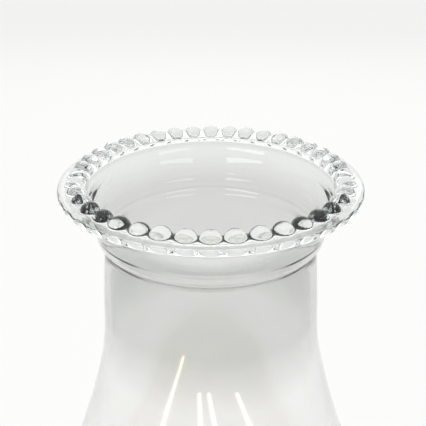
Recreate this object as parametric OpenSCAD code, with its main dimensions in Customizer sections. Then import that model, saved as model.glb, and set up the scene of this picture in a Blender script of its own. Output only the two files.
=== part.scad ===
// Flat-wick oil lamp: footed glass font, brass burner and a bead-topped chimney.
// Millimetres, +Z up, origin at the centre of the foot where it rests.
// The wick lies in the XZ plane and the wick knob points along +X.

/* [Font] */
// Diameter of the foot
foot_d = 126; // [122:1:140]
// Largest diameter of the oil bowl
bowl_d = 120; // [114:1:126]
// Height of the glass, from the foot to the top of its neck
font_h = 180; // [174:1:190]

/* [Chimney] */
// Height of the chimney, from its seat to the tops of the beads
chimney_h = 216; // [206:1:230]
// Diameter across the flared lip
lip_d = 84; // [82:0.5:88]
// Largest diameter of the belly
belly_d = 107; // [102:1:112]
// Outside diameter of the straight fitter that stands in the gallery
fitter_d = 76.2; // [75.6:0.1:76.6]
// Thickness of the blown wall
glass_wall = 1.8; // [1.5:0.1:2.1]
// Number of beads round the mouth
bead_count = 40; // [32:1:40]
// Diameter of one bead
bead_d = 5.5; // [4.8:0.1:5.7]

/* [Burner] */
// Width of the flat wick
wick_w = 25.4; // [22:0.1:25.6]
// Thickness of the flat wick
wick_t = 2.6; // [2:0.1:2.8]
// Number of teeth on one spur wheel
spur_teeth = 10; // [8:1:14]
// Diameter of the wick knob
knob_d = 17; // [14:0.5:19]
// Number of grip notches round the wick knob
knob_notches = 26; // [18:1:30]
// Number of air holes in each row round the bowl of the burner
air_holes = 24; // [16:2:28]
// Number of pierced holes round the gallery's wall
rim_holes = 40; // [32:8:40]

/* [Hidden] */

$fn = 96;
eps = 0.05;

// Gap left between pieces that move on each other
play = 0.3;
// Gap under a piece that is set down on another
seat_gap = 0.15;
// Radial clearance of a shaft in its bearing
bearing_play = 0.05;

// Sheet brass
sheet = 0.7;
thin_sheet = 0.6;

// Screw thread of the collar and of the burner
thread_pitch = 2;
thread_depth = 0.3;
collar_thread_r = 16.8;
burner_thread_r = 15.2;

// Heights, from the table upward
neck_r = 19;
neck_bore_r = 15;
neck_straight = 6;
plaster_t = 1.2;
collar_shoulder_z = font_h + plaster_t;
collar_top_z = font_h + 9;
washer_z = collar_top_z + seat_gap;
washer_t = 1;
flange_z = washer_z + washer_t + seat_gap;
bowl_z = flange_z + sheet;
shaft_z = flange_z + 10.7;
screen_z = flange_z + 21.1;
rim_top_z = flange_z + 23.3;
deck_z = flange_z + 23.7;
seat_z = deck_z + sheet;
chimney_z = seat_z + play;
crest_h = 1.6;
bead_top_h = 3.4;
lip_z = chimney_z + chimney_h - bead_top_h;

// Burner
tube_w = 28.2;
tube_t = 5;
tube_wall = 0.8;
tube_low_z = flange_z - 14;
tube_top_z = flange_z + 41.2;
wick_low_z = font_h - 76;
wick_top_z = tube_top_z + 1.5;
vent_y = 5;
vent_r = 2;
shaft_r = 1.2;
spur_r = 4.6;
spur_root_r = 3.3;
spur_t = 1;
spur_x = [-9, -3, 3, 9];
shaft_y = -(wick_t / 2 + spur_r + 0.1);
housing_w = 24;
housing_h = 13;
bearing_r = 2;
bearing_end_x = 33;
knob_x = 45;
knob_t = 2.8;
bowl_rim_r = 31.85;
sleeve_r = bowl_rim_r + 0.1;

// Gallery
rim_r = 41.3;
rim_h = 7;
prong_w = 11;
prong_angles = [-45, 45, 135, 225];
prong_x = rim_r + play;
prong_rivet_y = 3;
prong_rivet_h = 3.5;
dome_base_r = 35.2;
dome_rivet_r = 34;
slot_w = 31;
slot_t = 9;

// ---------------------------------------------------------------- outlines

function curve_point(a, b, c, d, t) =
    0.5 * (2 * b + (c - a) * t + (2 * a - 5 * b + 4 * c - d) * t * t
           + (3 * b - a - 3 * c + d) * t * t * t);

// Smooth line through the points p, with n steps between neighbours
function smooth(p, n = 3) =
    let (last = len(p) - 1)
    [for (i = [0 : last - 1], k = [0 : n - 1])
        curve_point(p[max(i - 1, 0)], p[i], p[i + 1], p[min(i + 2, last)], k / n),
     p[last]];

function reversed(p) = [for (i = [len(p) - 1 : -1 : 0]) p[i]];

// The same line, moved by w along the radius and h upward
function moved(p, w, h = 0) = [for (q = p) [q[0] + w, q[1] + h]];

// The same line, moved by w to its left: inward for a wall that is drawn upward
function inset(p, w) =
    [for (i = [0 : len(p) - 1])
        let (t = p[min(i + 1, len(p) - 1)] - p[max(i - 1, 0)])
        p[i] + w * [-t[1], t[0]] / norm(t)];

// Sheet metal, w thick, pressed along the line p
module sheet_ring(p, w) {
    rotate_extrude() polygon(concat(p, reversed(inset(p, w))));
}

// Rolled thread between two heights: a wavy wall, w thick
module thread_wall(r, low, high, w) {
    steps = 8;
    turns = (high - low) / thread_pitch;
    count = round(turns * steps);
    wave = [for (i = [0 : count])
        [r + thread_depth * sin(360 * i / steps), low + (high - low) * i / count]];
    rotate_extrude() polygon(concat(wave, reversed(moved(wave, -w))));
}

module ring(r_out, r_in, h) {
    difference() {
        cylinder(r = r_out, h = h);
        translate([0, 0, -eps]) cylinder(r = r_in, h = h + 2 * eps);
    }
}

module rounded_slab(w, t, h, r) {
    translate([-w / 2 + r, -t / 2, 0]) cube([w - 2 * r, t, h]);
    translate([-w / 2, -t / 2 + r, 0]) cube([w, t - 2 * r, h]);
    for (x = [-1, 1], y = [-1, 1])
        translate([x * (w / 2 - r), y * (t / 2 - r), 0]) cylinder(r = r, h = h);
}

module along_x(x, r, length) {
    translate([x, shaft_y, shaft_z]) rotate([0, 90, 0]) cylinder(r = r, h = length);
}

// ---------------------------------------------------------------- font

module font() {
    foot_r = foot_d / 2;
    bowl_r = bowl_d / 2;
    ring_in_r = foot_r - 15;
    foot_edge = [[foot_r - 2, 0], [foot_r - 0.4, 1.2], [foot_r, 3], [foot_r - 0.7, 4.9]];
    foot_top = [[foot_r - 0.7, 4.9], [foot_r - 5, 7.5], [46, 12.5], [32, 21], [20, 34], [14, 48],
                [13, 56]];
    knop = [[13, 56], [15.6, 60.2], [17.6, 64.5], [16, 68.6], [13.8, 71.5]];
    bowl = [[13.8, 71.5], [20, 76.5], [bowl_r - 24, 84.5], [bowl_r - 9, 96],
            [bowl_r - 1, 111], [bowl_r, 122], [bowl_r - 3, 138], [bowl_r - 12, font_h - 28],
            [35, font_h - 18], [24, font_h - 11.5], [neck_r + 0.6, font_h - 8.4],
            [neck_r, font_h - neck_straight]];
    inside = [[neck_bore_r, font_h - 8], [18.5, font_h - 12], [30, font_h - 19.5],
              [bowl_r - 16.5, font_h - 30.5], [bowl_r - 7.5, 136.5], [bowl_r - 4.5, 122],
              [bowl_r - 5.5, 111], [bowl_r - 13.5, 98.5], [bowl_r - 28, 89.5], [15, 86], [0, 85]];
    under = [[0, 28], [9, 26.5], [22, 17.5], [ring_in_r - 8, 6], [ring_in_r, 0]];
    color([0.86, 0.93, 0.92, 0.45])
        rotate_extrude() polygon(concat(
            foot_edge, smooth(foot_top), smooth(knop), smooth(bowl),
            [[neck_r, font_h], [neck_bore_r, font_h]],
            smooth(inside), smooth(under)));
}

module collar_plaster() {
    skirt_r = neck_r + plaster_t;
    color([0.93, 0.91, 0.86]) {
        translate([0, 0, font_h - neck_straight]) ring(skirt_r, neck_r, neck_straight);
        translate([0, 0, font_h]) ring(skirt_r, neck_bore_r + 1, plaster_t);
    }
}

module font_collar() {
    skirt_r = neck_r + plaster_t + sheet;
    bead_r = 0.7;
    color([0.78, 0.62, 0.32]) {
        translate([0, 0, font_h - neck_straight - 1])
            ring(skirt_r, skirt_r - sheet, neck_straight + 1 + plaster_t + sheet);
        translate([0, 0, collar_shoulder_z]) ring(skirt_r, collar_thread_r - sheet, sheet);
        thread_wall(collar_thread_r, collar_shoulder_z, collar_top_z - bead_r, sheet);
        rotate_extrude()
            translate([collar_thread_r + 0.1, collar_top_z - bead_r]) circle(r = bead_r, $fn = 32);
    }
}

// ---------------------------------------------------------------- burner

module burner_washer() {
    color([0.66, 0.47, 0.30])
        translate([0, 0, washer_z]) ring(collar_thread_r + 1.4, burner_thread_r + 0.9, washer_t);
}

module tube_hole(z) {
    translate([0, 0, z - eps]) rounded_slab(tube_w, tube_t, sheet + 2 * eps, 1.6);
    translate([0, vent_y, z - eps]) cylinder(r = vent_r, h = sheet + 2 * eps);
}

module thread_base() {
    color([0.80, 0.65, 0.34]) {
        thread_wall(burner_thread_r, flange_z - 8.4, flange_z, sheet);
        difference() {
            translate([0, 0, flange_z]) cylinder(r = 20, h = sheet);
            tube_hole(flange_z);
        }
    }
}

module air_bowl() {
    side = [[17.6, bowl_z], [20.4, bowl_z + 0.3], [24.8, bowl_z + 2.2], [28.6, bowl_z + 6],
            [30.8, bowl_z + 11.5], [31.6, bowl_z + 16], [bowl_rim_r, bowl_z + 18]];
    rows = [4.4, 15.4];
    hole_r = 1.6;
    color([0.80, 0.65, 0.34])
        difference() {
            sheet_ring(concat(smooth(side), [[bowl_rim_r, rim_top_z]]), sheet);
            for (row = [0, 1], i = [0 : air_holes - 1])
                rotate((i + row / 2 + 0.5) * 360 / air_holes)
                    translate([20, 0, bowl_z + rows[row]]) rotate([0, 90, 0])
                        cylinder(r = hole_r, h = 20);
            along_x(20, bearing_r, 20);
        }
}

module air_screen() {
    hole_r = 1.35;
    rings = [[9, 10], [14, 16], [19, 22], [24, 28], [28.4, 34]];
    clear_x = tube_w / 2 + hole_r + 0.8;
    clear_y = tube_t / 2 + hole_r + 0.8;
    clear_vent = vent_r + hole_r + 0.6;
    color([0.74, 0.60, 0.33])
        difference() {
            translate([0, 0, screen_z]) cylinder(r = bowl_rim_r - sheet, h = sheet);
            tube_hole(screen_z);
            for (row = rings, i = [0 : row[1] - 1]) {
                x = row[0] * cos((i + 0.5) * 360 / row[1]);
                y = row[0] * sin((i + 0.5) * 360 / row[1]);
                if ((abs(x) > clear_x || abs(y) > clear_y) && norm([x, y - vent_y]) > clear_vent)
                    translate([x, y, screen_z - eps]) cylinder(r = hole_r, h = sheet + 2 * eps);
            }
        }
}

module wick_tube() {
    height = tube_top_z - tube_low_z;
    color([0.76, 0.60, 0.30])
        difference() {
            translate([0, 0, tube_low_z]) rounded_slab(tube_w, tube_t, height, 1.6);
            translate([0, 0, tube_low_z - eps])
                rounded_slab(tube_w - 2 * tube_wall, tube_t - 2 * tube_wall, height + 2 * eps, 0.8);
            for (x = spur_x)
                translate([x - spur_t / 2 - 0.5, -tube_t / 2 - 1, shaft_z - spur_r - 0.6])
                    cube([spur_t + 1, tube_t / 2, 2 * spur_r + 1.2]);
        }
}

module wheel_housing() {
    front_y = shaft_y - spur_r - 1.1;
    back_y = -tube_t / 2;
    wall = 0.6;
    color([0.76, 0.60, 0.30])
        difference() {
            translate([-housing_w / 2, front_y, shaft_z - housing_h / 2])
                cube([housing_w, back_y - front_y, housing_h]);
            translate([-housing_w / 2 + wall, front_y + wall, shaft_z - housing_h / 2 + wall])
                cube([housing_w - 2 * wall, back_y - front_y, housing_h - 2 * wall]);
            along_x(-housing_w, shaft_r + bearing_play, 2 * housing_w);
        }
}

module vent_tube() {
    low = flange_z - 5;
    color([0.76, 0.60, 0.30])
        translate([0, vent_y, low]) ring(vent_r, vent_r - 0.5, tube_top_z - 3 - low);
}

module shaft_bearing() {
    length = bearing_end_x - housing_w / 2;
    color([0.80, 0.65, 0.34])
        difference() {
            along_x(housing_w / 2, bearing_r, length);
            along_x(housing_w / 2 - 1, shaft_r + bearing_play, length + 2);
        }
}

// ---------------------------------------------------------------- wick and its drive

module wick_shaft() {
    color([0.72, 0.58, 0.32])
        along_x(-housing_w / 2 - 1.5, shaft_r, knob_x + knob_t + housing_w / 2 + 1.5);
}

module spur_wheels() {
    star = [for (i = [0 : 2 * spur_teeth - 1])
        let (r = i % 2 == 0 ? spur_r : spur_root_r, a = i * 180 / spur_teeth)
        [r * cos(a), r * sin(a)]];
    color([0.72, 0.58, 0.32])
        for (x = spur_x)
            translate([x - spur_t / 2, shaft_y, shaft_z]) rotate([0, 90, 0])
                difference() {
                    linear_extrude(spur_t) polygon(star);
                    translate([0, 0, -eps]) cylinder(r = shaft_r, h = spur_t + 2 * eps);
                }
}

module wick_knob() {
    boss_r = 2.8;
    boss_h = 3;
    notch_r = 0.7;
    dish_r = knob_d / 2 - 2.6;
    color([0.80, 0.65, 0.34])
        difference() {
            union() {
                along_x(knob_x, knob_d / 2, knob_t);
                along_x(knob_x - boss_h, boss_r, boss_h + eps);
            }
            along_x(knob_x - boss_h - 1, shaft_r, boss_h + knob_t + 2);
            difference() {
                along_x(knob_x + knob_t - 0.8, dish_r, 1);
                along_x(knob_x, boss_r, knob_t + 1);
            }
            for (i = [0 : knob_notches - 1])
                translate([knob_x - 1, shaft_y, shaft_z]) rotate([i * 360 / knob_notches, 0, 0])
                    translate([0, knob_d / 2 + 0.15, 0]) rotate([0, 90, 0])
                        cylinder(r = notch_r, h = knob_t + 2, $fn = 24);
        }
}

module knob_rivet() {
    color([0.72, 0.58, 0.32])
        translate([knob_x + knob_t, shaft_y, shaft_z]) rotate([0, 90, 0])
            rotate_extrude() polygon([[0, 0], [2, 0], [1.8, 0.5], [1.1, 0.9], [0, 1.05]]);
}

module wick() {
    color([0.90, 0.86, 0.76])
        translate([0, 0, wick_low_z]) rounded_slab(wick_w, wick_t, wick_top_z - wick_low_z, 0.6);
}

// ---------------------------------------------------------------- gallery

module gallery() {
    sleeve_low = rim_top_z - 7;
    roll_r = 0.6;
    color([0.83, 0.68, 0.36])
        difference() {
            union() {
                translate([0, 0, sleeve_low]) ring(sleeve_r + sheet, sleeve_r, seat_z - sleeve_low);
                translate([0, 0, deck_z]) ring(rim_r, bowl_rim_r - sheet - 0.6, sheet);
                translate([0, 0, deck_z]) ring(rim_r, rim_r - sheet, rim_h);
                rotate_extrude()
                    translate([rim_r - 0.5, deck_z + rim_h]) circle(r = roll_r, $fn = 32);
            }
            for (i = [0 : rim_holes - 1]) {
                a = (i + 0.5) * 360 / rim_holes;
                if (min([for (p = prong_angles) abs((a - p + 540) % 360 - 180)]) > 9)
                    rotate(a) translate([rim_r - 2, 0, deck_z + rim_h / 2 + 0.4])
                        rotate([0, 90, 0]) cylinder(r = 1.3, h = 4);
            }
            for (a = prong_angles, y = [-prong_rivet_y, prong_rivet_y])
                rotate(a) translate([rim_r - 3, y, deck_z + prong_rivet_h])
                    rotate([0, 90, 0]) cylinder(r = 0.6, h = 5);
            for (a = prong_angles)
                rotate(a) translate([dome_rivet_r, 0, deck_z - eps])
                    cylinder(r = 0.6, h = sheet + 2 * eps);
        }
}

// One spring finger, drawn on the +X side of the gallery
module prong() {
    root = deck_z + 0.4;
    grip = fitter_d / 2 + play;
    back = [[prong_x, root], [prong_x, deck_z + 7.9], [grip + 0.9, deck_z + 10.4],
            [grip, deck_z + 12], [grip + 0.5, deck_z + 13.6], [grip + 2.6, deck_z + 17.6]];
    color([0.83, 0.68, 0.36])
        difference() {
            translate([0, prong_w / 2, 0]) rotate([90, 0, 0])
                linear_extrude(prong_w)
                    polygon(concat(back, reversed(moved(back, thin_sheet, 0.25))));
            for (y = [-prong_rivet_y, prong_rivet_y])
                translate([prong_x - 2, y, deck_z + prong_rivet_h])
                    rotate([0, 90, 0]) cylinder(r = 1, h = 5);
        }
}

module prong_rivets() {
    color([0.72, 0.58, 0.32])
        for (a = prong_angles, y = [-prong_rivet_y, prong_rivet_y])
            rotate(a) translate([rim_r - sheet - 0.55, y, deck_z + prong_rivet_h])
                rotate([0, 90, 0]) {
                    cylinder(r = 1.1, h = 0.35);
                    cylinder(r = 0.6, h = 2.9);
                    translate([0, 0, 2.55]) cylinder(r1 = 1.5, r2 = 1, h = 0.55);
                }
}

module burner_dome() {
    crown = [[dome_base_r, seat_z], [dome_base_r, seat_z + thin_sheet], [31, seat_z + thin_sheet]];
    shell = [[30.4, seat_z + 1.2], [29.8, seat_z + 5], [27.2, seat_z + 12], [21.5, seat_z + 18],
             [13, seat_z + 22], [0, seat_z + 23.6]];
    hollow = [[0, seat_z + 23], [12.8, seat_z + 21.4], [21, seat_z + 17.5], [26.6, seat_z + 11.8],
              [29.2, seat_z + 4.9], [29.7, seat_z]];
    color([0.85, 0.70, 0.38])
        difference() {
            rotate_extrude() polygon(concat(crown, smooth(shell, 4), smooth(hollow, 4)));
            translate([0, 0, seat_z + 14]) rounded_slab(slot_w, slot_t, 12, 4);
            for (a = prong_angles)
                rotate(a) translate([dome_rivet_r, 0, seat_z - eps])
                    cylinder(r = 0.6, h = thin_sheet + 2 * eps);
        }
}

module dome_rivets() {
    color([0.72, 0.58, 0.32])
        for (a = prong_angles)
            rotate(a) translate([dome_rivet_r, 0, deck_z - 0.4]) {
                cylinder(r = 0.9, h = 0.4);
                cylinder(r = 0.6, h = sheet + thin_sheet + 0.6);
                translate([0, 0, sheet + thin_sheet + 0.4]) cylinder(r1 = 0.9, r2 = 0.6, h = 0.4);
            }
}

// ---------------------------------------------------------------- chimney

// Heights in these outlines are measured from the plane of the lip
module chimney() {
    lip_r = lip_d / 2;
    belly_r = belly_d / 2;
    fit_r = fitter_d / 2;
    base = -(lip_z - chimney_z);
    base_wall = glass_wall + 0.5;
    crest_r = lip_r - 5;
    body = [[fit_r, base + 15], [fit_r + 0.8, base + 22], [fit_r + 3.4, base + 31],
            [belly_r - 7.7, base + 42], [belly_r - 3.2, base + 54], [belly_r - 0.5, base + 66],
            [belly_r, -134], [belly_r - 1.3, -122], [belly_r - 4, -110], [46, -98], [42.1, -86],
            [38.4, -74.5], [34.8, -61], [33, -52.5], [32.1, -44], [31.7, -35.7], [31.1, -27.3],
            [30.35, -18.9]];
    ledge = [[30.5, -17.4], [30.7, -16.5], [31.8, -15.3], [32.3, -14.4]];
    flare = [[34.2, -7.6], [35.6, -5.4], [38.4, -3.2], [lip_r - 0.7, -1]];
    lip = [[lip_r - 0.1, -0.4], [lip_r, 0], [lip_r - 0.2, 0.4], [lip_r - 0.6, 0.6]];
    crest = [[lip_r - 1.8, 0.9], [lip_r - 3.2, 1.3], [crest_r, crest_h], [crest_r - 1.7, 1.3],
             [crest_r - 2.5, 0.5], [crest_r - 2.4, -1.2], [crest_r - 2.6, -2.9]];
    throat = [[33.3, -4.2], [31.9, -7.9], [31.1, -11.9], [30.3, -14.5], [29, -16.8],
              [30.4 - glass_wall, -19]];
    walls = smooth(body);
    color([0.90, 0.94, 0.94, 0.35])
        translate([0, 0, lip_z]) {
            rotate_extrude() polygon(concat(
                [[fit_r - base_wall, base], [fit_r, base]], walls, ledge, smooth(flare), lip,
                smooth(crest), smooth(throat),
                reversed([for (q = inset(walls, glass_wall)) if (q[1] < -22) q])));
            for (i = [0 : bead_count - 1])
                rotate(i * 360 / bead_count)
                    translate([crest_r, 0, bead_top_h - bead_d / 2])
                        sphere(r = bead_d / 2, $fn = 32);
        }
}

// ---------------------------------------------------------------- the nodes

font();
collar_plaster();
font_collar();
burner_washer();
thread_base();
air_bowl();
air_screen();
wick_tube();
wheel_housing();
vent_tube();
shaft_bearing();
wick_shaft();
spur_wheels();
wick_knob();
knob_rivet();
wick();
gallery();
rotate(prong_angles[0]) prong();  // prong_front_right
rotate(prong_angles[1]) prong();  // prong_back_right
rotate(prong_angles[2]) prong();  // prong_back_left
rotate(prong_angles[3]) prong();  // prong_front_left
prong_rivets();
burner_dome();
dome_rivets();
chimney();
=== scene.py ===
"""A flat-wick oil lamp with a bead-topped glass chimney, standing on a pale floor.

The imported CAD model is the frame. The chimney and the font are remade here as fine meshes, and
every other piece keeps its CAD shape and gets a procedural material.
"""
import math

import bpy
import numpy as np
from mathutils import Matrix, Vector


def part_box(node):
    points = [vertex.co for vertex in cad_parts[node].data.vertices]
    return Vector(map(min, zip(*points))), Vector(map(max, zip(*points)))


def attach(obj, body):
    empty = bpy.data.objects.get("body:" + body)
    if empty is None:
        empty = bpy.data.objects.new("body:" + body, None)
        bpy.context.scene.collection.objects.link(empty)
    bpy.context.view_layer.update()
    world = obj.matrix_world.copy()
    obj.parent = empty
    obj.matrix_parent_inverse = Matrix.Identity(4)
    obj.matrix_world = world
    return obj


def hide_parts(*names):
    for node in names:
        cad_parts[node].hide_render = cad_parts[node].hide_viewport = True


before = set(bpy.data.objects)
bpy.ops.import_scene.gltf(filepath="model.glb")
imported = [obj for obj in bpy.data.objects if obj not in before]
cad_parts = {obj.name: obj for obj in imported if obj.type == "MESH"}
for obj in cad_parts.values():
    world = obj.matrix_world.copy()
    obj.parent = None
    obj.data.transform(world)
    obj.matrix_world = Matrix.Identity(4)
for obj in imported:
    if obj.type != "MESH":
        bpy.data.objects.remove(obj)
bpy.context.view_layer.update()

MM = 0.001

# The chimney, in millimetres; heights in its outline are above the plane of the lip
LIP_R = 42.0
BEAD_COUNT = 40
BEAD_R = 2.75
BEAD_TOP_H = 3.4
CREST_R = LIP_R - 5
CREST_H = 1.6
GLASS_WALL = 1.8

CHIMNEY_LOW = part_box("chimney")[0].z / MM
CHIMNEY_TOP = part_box("chimney")[1].z / MM
LIP_Z = CHIMNEY_TOP - BEAD_TOP_H

# The camera stands in front of the lip and looks down past it
CAMERA_DISTANCE = 4.651 * LIP_R * MM
CAMERA_ELEVATION = math.radians(23.19)
CAMERA_PITCH = math.radians(25.87)
CAMERA_YAW = math.radians(0.19)
CAMERA_LENS = 59.37

WORLD_STRENGTH = 1.03

# The floor lies just under the foot, so that the glass and the floor don't share a plane
FLOOR_HEIGHT = -0.0003

# The light of the flame is a few thin streaks. Each has its place across, its top below the lip,
# its lean, and its length, in millimetres
FLAME_STREAKS = (
    (-8.7, 59.9, -0.265, 62), (-3.9, 74.3, 0.027, 50), (-0.8, 74.3, 0.136, 50),
    (8.3, 74.3, 0.327, 44),
)
FLAME_WIDTH = 0.0008
FLAME_POWER = 0.00015
FLAME_COLOUR = (1, 0.86, 0.60)


# ---------------------------------------------------------------- camera, floor and light


def make_camera():
    data = bpy.data.cameras.new("camera")
    data.sensor_width = 36
    data.lens = CAMERA_LENS
    data.clip_start = 0.01
    data.clip_end = 100
    camera = bpy.data.objects.new("camera", data)
    back = CAMERA_DISTANCE * math.cos(CAMERA_ELEVATION)
    up = CAMERA_DISTANCE * math.sin(CAMERA_ELEVATION)
    camera.location = (0, -back, LIP_Z * MM + up)
    camera.rotation_euler = (math.pi / 2 - CAMERA_PITCH, 0, -CAMERA_YAW)
    bpy.context.scene.collection.objects.link(camera)
    bpy.context.scene.camera = camera


def area_light(name, place, turn, size, power, colour=(1, 1, 1)):
    data = bpy.data.lights.new(name, "AREA")
    data.shape = "RECTANGLE"
    data.size, data.size_y = size
    data.energy = power
    data.color = colour
    light = bpy.data.objects.new(name, data)
    light.location = place
    light.rotation_euler = turn
    bpy.context.scene.collection.objects.link(light)


def panel(name, place, target, size, power):
    """A white area light that faces its target."""
    aim = Vector(target) - Vector(place)
    area_light(name, place, aim.to_track_quat("-Z", "Y").to_euler(), size, power)


def fill_ramp(ramp, stops):
    """Sets a colour ramp's stops, each a position and a colour."""
    elements = ramp.color_ramp.elements
    while len(elements) < len(stops):
        elements.new(0.5)
    for element, (position, colour) in zip(elements, stops):
        element.position = position
        element.color = (*colour, 1)


def greys(*stops):
    return [(position, (neck_shade_grey,) * 3) for position, neck_shade_grey in stops]


def make_world():
    """A white studio, brightest overhead and a little darker low on the camera's side."""
    world = bpy.data.worlds.new("studio")
    bpy.context.scene.world = world
    world.use_nodes = True
    nodes, links = world.node_tree.nodes, world.node_tree.links
    nodes.clear()
    place = nodes.new("ShaderNodeTexCoord")
    split = nodes.new("ShaderNodeSeparateXYZ")
    links.new(place.outputs["Generated"], split.inputs[0])

    def ramp(*stops):
        node = nodes.new("ShaderNodeValToRGB")
        fill_ramp(node, greys(*stops))
        links.new(split.outputs["Z"], node.inputs[0])
        return node.outputs[0]

    behind = ramp((0.0, 0.94), (0.30, 0.96), (0.60, 0.90), (0.85, 1.1), (1.0, 1.2))
    before = ramp((0.0, 0.80), (0.30, 0.70), (0.55, 0.62), (0.80, 1.0), (1.0, 1.2))
    side = nodes.new("ShaderNodeMapRange")
    side.interpolation_type = "SMOOTHSTEP"
    side.inputs["From Min"].default_value = -0.15
    side.inputs["From Max"].default_value = -0.60
    links.new(split.outputs["Y"], side.inputs["Value"])
    blend = nodes.new("ShaderNodeMix")
    blend.data_type = "RGBA"
    links.new(side.outputs[0], blend.inputs["Factor"])
    links.new(behind, blend.inputs["A"])
    links.new(before, blend.inputs["B"])
    background = nodes.new("ShaderNodeBackground")
    background.inputs["Strength"].default_value = WORLD_STRENGTH
    links.new(blend.outputs["Result"], background.inputs["Color"])
    output = nodes.new("ShaderNodeOutputWorld")
    links.new(background.outputs[0], output.inputs["Surface"])


def make_floor():
    bpy.ops.mesh.primitive_circle_add(vertices=96, radius=40, fill_type="NGON")
    floor = bpy.context.object
    floor.name = "floor"
    floor.location.z = FLOOR_HEIGHT
    material = bpy.data.materials.new("floor_paper")
    material.use_nodes = True
    shader = material.node_tree.nodes["Principled BSDF"]
    shader.inputs["Base Color"].default_value = (0.88, 0.88, 0.875, 1)
    shader.inputs["Roughness"].default_value = 0.75
    shader.inputs["Specular IOR Level"].default_value = 0.2
    floor.data.materials.append(material)


def make_studio():
    make_world()
    make_floor()
    panel("overhead", (0, 0.1, 1.75), (0, 0, 0.3), (1.4, 1.4), 1.3)
    panel("left_window", (-0.83, -1.13, 0.98), (0, 0, 0.42), (1.0, 0.26), 2.6)
    panel("right_window", (0.85, -1.12, 0.98), (0, 0, 0.42), (0.9, 0.24), 1.3)
    panel("back_panel", (0.1, 1.9, 1.15), (0, 0, 0.42), (1.8, 0.5), 2.4)
    flame_light()
    scene = bpy.context.scene
    scene.view_settings.view_transform = "Standard"
    scene.cycles.max_bounces = 80
    scene.cycles.transmission_bounces = 76
    scene.cycles.glossy_bounces = 12
    scene.cycles.transparent_max_bounces = 16
    scene.cycles.blur_glossy = 0.2


def flame_light():
    """The wick's light: thin warm streaks that lean together, each lit to the front and back."""
    for i, (across, drop, lean, length) in enumerate(FLAME_STREAKS):
        top = Vector((across, 0, LIP_Z - drop)) * MM
        foot = top + Vector((lean, 0, -1)) * length * MM
        up = (top - foot).normalized()
        for name, facing in (("back", Vector((0, 1, 0))), ("front", Vector((0, -1, 0)))):
            sideways = up.cross(-facing)
            turn = Matrix((sideways, up, -facing)).transposed().to_euler()
            size = (FLAME_WIDTH, (top - foot).length)
            area_light(f"flame_{i}_{name}", (top + foot) / 2, turn, size, FLAME_POWER, FLAME_COLOUR)


# ---------------------------------------------------------------- outlines and revolved meshes


def curve(points, spacing):
    """A smooth line through points, with about that many millimetres between its own points."""
    p = np.array(points, float)
    ends = np.vstack([2 * p[0] - p[1], p, 2 * p[-1] - p[-2]])
    line = []
    for a, b, c, d in zip(ends, ends[1:], ends[2:], ends[3:]):
        count = max(1, round(float(np.linalg.norm(c - b)) / spacing))
        t = np.arange(count)[:, None] / count
        cubic = 3 * b - a - 3 * c + d
        square = 2 * a - 5 * b + 4 * c - d
        line.append(0.5 * (2 * b + (c - a) * t + square * t**2 + cubic * t**3))
    return np.vstack([*line, p[-1:]])


def arc(centre, radius, start, end, steps):
    """Points on a round corner, with its angles in degrees."""
    angles = np.radians(np.linspace(start, end, steps))
    return np.array(centre) + radius * np.stack([np.cos(angles), np.sin(angles)], -1)


def inset(line, distance):
    """The same line, moved to its left."""
    tangent = np.gradient(line, axis=0)
    tangent /= np.linalg.norm(tangent, axis=1)[:, None]
    return line + distance * np.stack([-tangent[:, 1], tangent[:, 0]], -1)


def mesh_object(name, points, faces, body, *replaced):
    mesh = bpy.data.meshes.new(name)
    mesh.from_pydata(points.tolist(), [], faces)
    mesh.update()
    mesh.polygons.foreach_set("use_smooth", [True] * len(mesh.polygons))
    piece = bpy.data.objects.new(name, mesh)
    bpy.context.scene.collection.objects.link(piece)
    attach(piece, body)
    if replaced:
        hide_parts(*replaced)
    return piece


def revolve(name, outline, segments, relief, body, *replaced):
    """Turns a closed outline of (radius, height) round the axis.

    relief takes radius, height and angle as arrays and returns the radius and height there. The
    outline runs anticlockwise, and its points on the axis become single points.
    """
    angles = np.arange(segments) * (2 * math.pi / segments)
    radius, angle = np.meshgrid(outline[:, 0], angles, indexing="ij")
    height = np.repeat(outline[:, 1:], segments, axis=1)
    radius, height = relief(radius, height, angle)
    ring = np.stack([radius * np.cos(angle), radius * np.sin(angle), height], -1)
    starts, points = [], []
    for row, (r, _) in zip(ring, outline):
        starts.append(len(points))
        points.extend(row[:1] if r == 0 else row)
    faces = []
    turns = list(range(segments))
    count = len(outline)
    for i in range(count):
        low, high = starts[i], starts[(i + 1) % count]
        low_pole = outline[i][0] == 0
        high_pole = outline[(i + 1) % count][0] == 0
        if low_pole and high_pole:
            continue
        for j in turns:
            k = (j + 1) % segments
            if low_pole:
                faces.append((low, high + k, high + j))
            elif high_pole:
                faces.append((low + j, low + k, high))
            else:
                faces.append((low + j, low + k, high + k, high + j))
    return mesh_object(name, np.array(points) * MM, faces, body, *replaced)


# ---------------------------------------------------------------- materials


def new_material(name):
    material = bpy.data.materials.new(name)
    material.use_nodes = True
    tree = material.node_tree
    return material, tree, tree.nodes["Principled BSDF"]


def glass_material(name, tint_colour, colour, density):
    """Clear glass with a tint at each surface and a little colour through its thickness."""
    material, tree, shader = new_material(name)
    shader.inputs["Base Color"].default_value = tint_colour
    shader.inputs["Roughness"].default_value = 0
    shader.inputs["IOR"].default_value = 1.51
    shader.inputs["Transmission Weight"].default_value = 1
    tint = tree.nodes.new("ShaderNodeVolumeAbsorption")
    tint.inputs["Color"].default_value = colour
    tint.inputs["Density"].default_value = density
    tree.links.new(tint.outputs[0], tree.nodes["Material Output"].inputs["Volume"])
    return material, tree, shader


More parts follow.
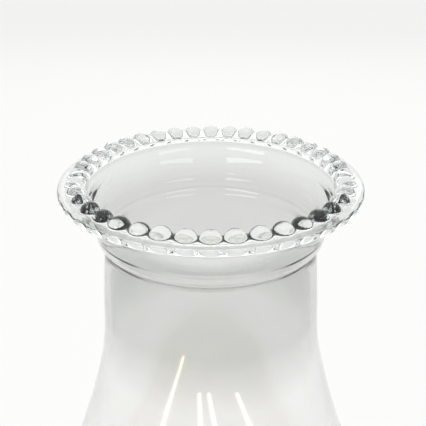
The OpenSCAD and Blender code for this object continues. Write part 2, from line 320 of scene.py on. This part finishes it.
def height_ramp(tree, low, high, *stops):
    """A colour ramp over the piece's own height, between two heights in millimetres."""
    place = tree.nodes.new("ShaderNodeTexCoord")
    split = tree.nodes.new("ShaderNodeSeparateXYZ")
    tree.links.new(place.outputs["Object"], split.inputs[0])
    scale = tree.nodes.new("ShaderNodeMapRange")
    scale.inputs["From Min"].default_value = low * MM
    scale.inputs["From Max"].default_value = high * MM
    tree.links.new(split.outputs["Z"], scale.inputs["Value"])
    ramp = tree.nodes.new("ShaderNodeValToRGB")
    fill_ramp(ramp, stops)
    tree.links.new(scale.outputs[0], ramp.inputs[0])
    return ramp.outputs[0]


def chimney_material():
    """Clear glass with painted shade: its tint is greyer round the neck and a little grey at the
    rim, and it is a little cloudy below the collar.
    """
    clear, neck_shade_grey, rim = (0.97, 0.97, 0.96), (0.70, 0.705, 0.69), (0.85, 0.86, 0.85)
    material, tree, shader = glass_material("chimney_glass", (*neck_shade_grey, 1), (0.62, 0.76, 0.74, 1), 8)
    # Painted shade: this tint over height darkens the glass round the neck and near the rim, and
    # the glass lower down stays clear.
    tint = height_ramp(
        tree, LIP_Z - 80, LIP_Z,
        (0.0, clear), (0.30, clear), (0.52, neck_shade_grey), (0.84, neck_shade_grey), (0.94, rim),
    )
    tree.links.new(tint, shader.inputs["Base Color"])
    cloud = height_ramp(tree, LIP_Z - 60, LIP_Z, *greys((0.0, 0.10), (0.62, 0.06), (0.72, 0.0)))
    tree.links.new(cloud, shader.inputs["Roughness"])
    return material


def plain_material(name, colour, other, scale, roughness, bump_height):
    """A dull, grainy material in two colours."""
    material, tree, shader = new_material(name)
    place = tree.nodes.new("ShaderNodeTexCoord")
    noise = tree.nodes.new("ShaderNodeTexNoise")
    noise.inputs["Scale"].default_value = scale
    noise.inputs["Detail"].default_value = 5
    tree.links.new(place.outputs["Object"], noise.inputs["Vector"])
    ramp = tree.nodes.new("ShaderNodeValToRGB")
    ramp.color_ramp.elements[0].position = 0.38
    ramp.color_ramp.elements[1].position = 0.62
    ramp.color_ramp.elements[0].color = colour
    ramp.color_ramp.elements[1].color = other
    tree.links.new(noise.outputs["Fac"], ramp.inputs[0])
    tree.links.new(ramp.outputs[0], shader.inputs["Base Color"])
    shader.inputs["Roughness"].default_value = roughness
    bump = tree.nodes.new("ShaderNodeBump")
    bump.inputs["Distance"].default_value = bump_height
    tree.links.new(noise.outputs["Fac"], bump.inputs["Height"])
    tree.links.new(bump.outputs[0], shader.inputs["Normal"])
    return material


def wick_material():
    """Flat woven cotton: fine ribs both ways, and a scorched top edge."""
    material, tree, shader = new_material("wick_cotton")
    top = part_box("wick")[1].z / MM
    colour = height_ramp(
        tree, top - 6, top, (0.0, (0.74, 0.68, 0.55)), (0.35, (0.45, 0.32, 0.18)),
        (0.6, (0.05, 0.04, 0.035)), (1.0, (0.02, 0.02, 0.02)),
    )
    tree.links.new(colour, shader.inputs["Base Color"])
    shader.inputs["Roughness"].default_value = 0.95
    place = tree.nodes.new("ShaderNodeTexCoord")
    weave = tree.nodes.new("ShaderNodeMath")
    weave.operation = "MAXIMUM"
    for index, direction in enumerate(("X", "Z")):
        wave = tree.nodes.new("ShaderNodeTexWave")
        wave.bands_direction = direction
        wave.inputs["Scale"].default_value = 420
        wave.inputs["Distortion"].default_value = 0.6
        tree.links.new(place.outputs["Object"], wave.inputs["Vector"])
        tree.links.new(wave.outputs["Fac"], weave.inputs[index])
    bump = tree.nodes.new("ShaderNodeBump")
    bump.inputs["Distance"].default_value = 0.0002
    tree.links.new(weave.outputs[0], bump.inputs["Height"])
    tree.links.new(bump.outputs[0], shader.inputs["Normal"])
    return material


def brass_material(name, bright, dull, roughness, dullness):
    """Spun or stamped brass: fine lines round the axis, and patches that have dulled."""
    material, tree, shader = new_material(name)
    nodes, links = tree.nodes, tree.links
    place = nodes.new("ShaderNodeTexCoord")

    def noise(scale, detail, stretch=(1, 1, 1)):
        mapping = nodes.new("ShaderNodeMapping")
        mapping.inputs["Scale"].default_value = stretch
        links.new(place.outputs["Object"], mapping.inputs["Vector"])
        texture = nodes.new("ShaderNodeTexNoise")
        texture.inputs["Scale"].default_value = scale
        texture.inputs["Detail"].default_value = detail
        links.new(mapping.outputs[0], texture.inputs["Vector"])
        return texture.outputs["Fac"]

    patches = noise(90, 6)
    specks = noise(1400, 3)
    lines = noise(700, 2, (0.25, 0.25, 6))
    tarnish = nodes.new("ShaderNodeValToRGB")
    tarnish.color_ramp.elements[0].position = 0.62 - dullness * 0.3
    tarnish.color_ramp.elements[1].position = 0.80 - dullness * 0.3
    links.new(patches, tarnish.inputs[0])
    colour = nodes.new("ShaderNodeMix")
    colour.data_type = "RGBA"
    colour.inputs["A"].default_value = bright
    colour.inputs["B"].default_value = dull
    links.new(tarnish.outputs[0], colour.inputs["Factor"])
    links.new(colour.outputs["Result"], shader.inputs["Base Color"])
    rough = nodes.new("ShaderNodeMapRange")
    rough.inputs["To Min"].default_value = roughness - 0.07
    rough.inputs["To Max"].default_value = roughness + 0.16
    links.new(patches, rough.inputs["Value"])
    links.new(rough.outputs[0], shader.inputs["Roughness"])
    shader.inputs["Metallic"].default_value = 1
    heights = nodes.new("ShaderNodeMath")
    heights.operation = "MULTIPLY_ADD"
    heights.inputs[1].default_value = 0.35
    links.new(specks, heights.inputs[0])
    links.new(lines, heights.inputs[2])
    bump = nodes.new("ShaderNodeBump")
    bump.inputs["Strength"].default_value = 0.25
    bump.inputs["Distance"].default_value = 0.00004
    links.new(heights.outputs[0], bump.inputs["Height"])
    links.new(bump.outputs[0], shader.inputs["Normal"])
    return material


def dress(material, *names):
    """Gives CAD nodes this material in every slot."""
    for name in names:
        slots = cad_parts[name].data.materials
        if not len(slots):
            slots.append(material)
        for i in range(len(slots)):
            slots[i] = material


# ---------------------------------------------------------------- chimney


def chimney_outline():
    """The closed outline of the glass, anticlockwise from the inside of its foot."""
    base = CHIMNEY_LOW - LIP_Z
    fit_r = 38.1
    belly_r = 53.5
    body = curve(
        [
            (fit_r, base + 1), (fit_r, base + 8), (fit_r, base + 15), (fit_r + 0.8, base + 22),
            (fit_r + 3.4, base + 31), (belly_r - 7.7, base + 42), (belly_r - 3.2, base + 54),
            (belly_r - 0.5, base + 66), (belly_r, -134), (belly_r - 1.3, -122),
            (belly_r - 4, -110), (46, -98), (42.1, -86), (38.4, -74.5), (34.8, -61), (33, -52.5),
            (32.1, -44), (31.7, -35.7), (31.1, -27.3), (30.4, -18.9), (30.45, -17.4),
        ],
        1.6,
    )
    ledge = curve([(30.6, -16.7), (31.1, -16), (31.8, -15.4), (32.15, -14.9), (32.3, -14)], 0.3)
    flare = curve(
        [
            (33.0, -11.6), (34.0, -7.9), (34.6, -5.4), (35.3, -3.0), (36.3, -1.5), (37.6, -0.95),
            (39.2, -1.1), (40.6, -1.3),
        ],
        0.5,
    )
    lip = arc((LIP_R - 1.0, -0.3), 1.0, -85, 80, 12)
    crest = curve(
        [
            (LIP_R - 1.8, 1.0), (LIP_R - 3.2, 1.3), (CREST_R, CREST_H), (CREST_R - 1.6, 1.25),
            (CREST_R - 2.4, 0.2), (CREST_R - 2.6, -1.4), (CREST_R - 2.9, -3), (33.4, -4.6),
            (32.7, -5.9), (31.9, -8.1), (31.35, -10.1), (31.1, -11.7), (30.6, -13.1),
            (30.1, -14.8), (29.7, -15.9), (29.1, -17), (28.75, -18), (28.65, -19.5),
        ],
        0.25,
    )
    inner = inset(body, GLASS_WALL)
    inner = inner[(inner[:, 1] < -21) & (inner[:, 1] > base + 2.5)][::-1]
    foot = np.array([(fit_r - GLASS_WALL, base + 0.8), (fit_r - GLASS_WALL + 0.7, base)])
    foot_out = arc((fit_r - 0.7, base + 0.7), 0.7, -90, 0, 5)
    return np.vstack([foot_out, body, ledge, flare, lip, crest, inner, foot])


def chimney_relief(radius, height, angle):
    """The beads on the crest, and the slight waves of glass that was blown."""
    cell = 2 * math.pi / BEAD_COUNT
    number = np.round(angle / cell)
    rng = np.random.default_rng(3)
    shift = rng.uniform(-0.035, 0.035, BEAD_COUNT)[number.astype(int) % BEAD_COUNT]
    size = 1 + rng.uniform(-0.03, 0.03, BEAD_COUNT)[number.astype(int) % BEAD_COUNT]
    along = CREST_R * (angle - (number + shift) * cell)
    across = radius - CREST_R
    reach = BEAD_R**2 * size**2 - along**2 - across**2
    dome = BEAD_TOP_H - BEAD_R + np.sqrt(np.maximum(reach, 0)) - 4 * (reach < 0)
    on_top = (height > -0.6) & (radius < LIP_R - 1.5)
    softness = 0.16
    rise = softness * np.logaddexp(0, (dome - height) / softness)
    height = np.where(on_top, height + rise, height)
    fade = np.clip((-6 - height) / 12, 0, 1)
    wave = (
        0.05 * np.sin(3 * angle + height / 17)
        + 0.035 * np.sin(5 * angle - height / 9 + 1.3)
        + 0.02 * np.sin(9 * angle + height / 5.5 + 0.6)
    )
    return radius + fade * wave, height


def shifted(relief, lift):
    """A relief worked out above the lip, for an outline that is given above the table."""

    def lifted(radius, height, angle):
        radius, height = relief(radius, height - lift, angle)
        return radius, height + lift

    return lifted


def make_chimney():
    outline = chimney_outline() + (0, LIP_Z)
    relief = shifted(chimney_relief, LIP_Z)
    piece = revolve("chimney_glass", outline, 20 * BEAD_COUNT, relief, "chimney", "chimney")
    piece.data.materials.append(chimney_material())


# ---------------------------------------------------------------- font


def font_outline():
    foot_r, bowl_r, font_h, neck_r, bore_r = 63, 60, 180, 19, 15
    ring_in_r = foot_r - 15
    foot = np.vstack(
        [
            [(ring_in_r + 1.2, 0), (ring_in_r + 6, 0), (foot_r - 5, 0)],
            arc((foot_r - 2.4, 2.4), 2.4, -90, 62, 12),
        ]
    )
    outer = curve(
        [
            (foot_r - 5, 7.5), (46, 12.5), (32, 21), (20, 34), (14, 48), (13, 56), (15.6, 60.2),
            (17.6, 64.5), (16, 68.6), (13.8, 71.5), (20, 76.5), (bowl_r - 24, 84.5),
            (bowl_r - 9, 96), (bowl_r - 1, 111), (bowl_r, 122), (bowl_r - 3, 138),
            (bowl_r - 12, font_h - 28), (35, font_h - 18), (24, font_h - 11.5),
            (neck_r + 0.6, font_h - 8.4), (neck_r, font_h - 6), (neck_r, font_h - 1),
        ],
        1.0,
    )
    rim = np.array([(neck_r - 0.4, font_h - 0.1), (bore_r + 0.4, font_h - 0.1)])
    inner = curve(
        [
            (bore_r, font_h - 1), (bore_r, font_h - 8), (18.5, font_h - 12), (30, font_h - 19.5),
            (bowl_r - 16.5, font_h - 30.5), (bowl_r - 7.5, 136.5), (bowl_r - 4.5, 122),
            (bowl_r - 5.5, 111), (bowl_r - 13.5, 98.5), (bowl_r - 28, 89.5), (15, 86), (0, 85),
        ],
        1.8,
    )
    under = curve([(0, 28), (9, 26.5), (22, 17.5), (ring_in_r - 8, 6), (ring_in_r, 0.6)], 1.8)
    inner[-1, 0] = under[0, 0] = 0
    return np.vstack([foot, outer, rim, inner, under])


def make_font():
    piece = revolve(
        "font_glass", font_outline(), 288, lambda r, h, a: (r, h), "font_assembly", "font"
    )
    glass = glass_material("font_glass", (0.88, 0.90, 0.89, 1), (0.70, 0.85, 0.82, 1), 8)[0]
    piece.data.materials.append(glass)


# ---------------------------------------------------------------- all of it

make_camera()
make_studio()
make_chimney()
make_font()

BRIGHT = (0.86, 0.64, 0.30, 1)
DULL = (0.42, 0.28, 0.13, 1)
dress(
    brass_material("stamped_brass", BRIGHT, DULL, 0.30, 0.3),
    "font_collar", "thread_base", "air_bowl", "gallery", "wheel_housing", "vent_tube",
    "shaft_bearing", "prong_front_right", "prong_back_right", "prong_back_left",
    "prong_front_left",
)
dress(
    brass_material("hot_brass", (0.66, 0.45, 0.22, 1), (0.22, 0.14, 0.09, 1), 0.38, 0.9),
    "burner_dome", "wick_tube", "air_screen",
)
dress(
    brass_material("bright_brass", (0.90, 0.69, 0.34, 1), DULL, 0.22, 0.1),
    "wick_shaft", "spur_wheels", "wick_knob", "knob_rivet", "prong_rivets", "dome_rivets",
)
dress(
    plain_material("cork", (0.42, 0.27, 0.14, 1), (0.20, 0.11, 0.05, 1), 900, 0.85, 0.0003),
    "burner_washer",
)
dress(
    plain_material("plaster", (0.80, 0.77, 0.70, 1), (0.70, 0.66, 0.58, 1), 400, 0.9, 0.0002),
    "collar_plaster",
)
dress(wick_material(), "wick")
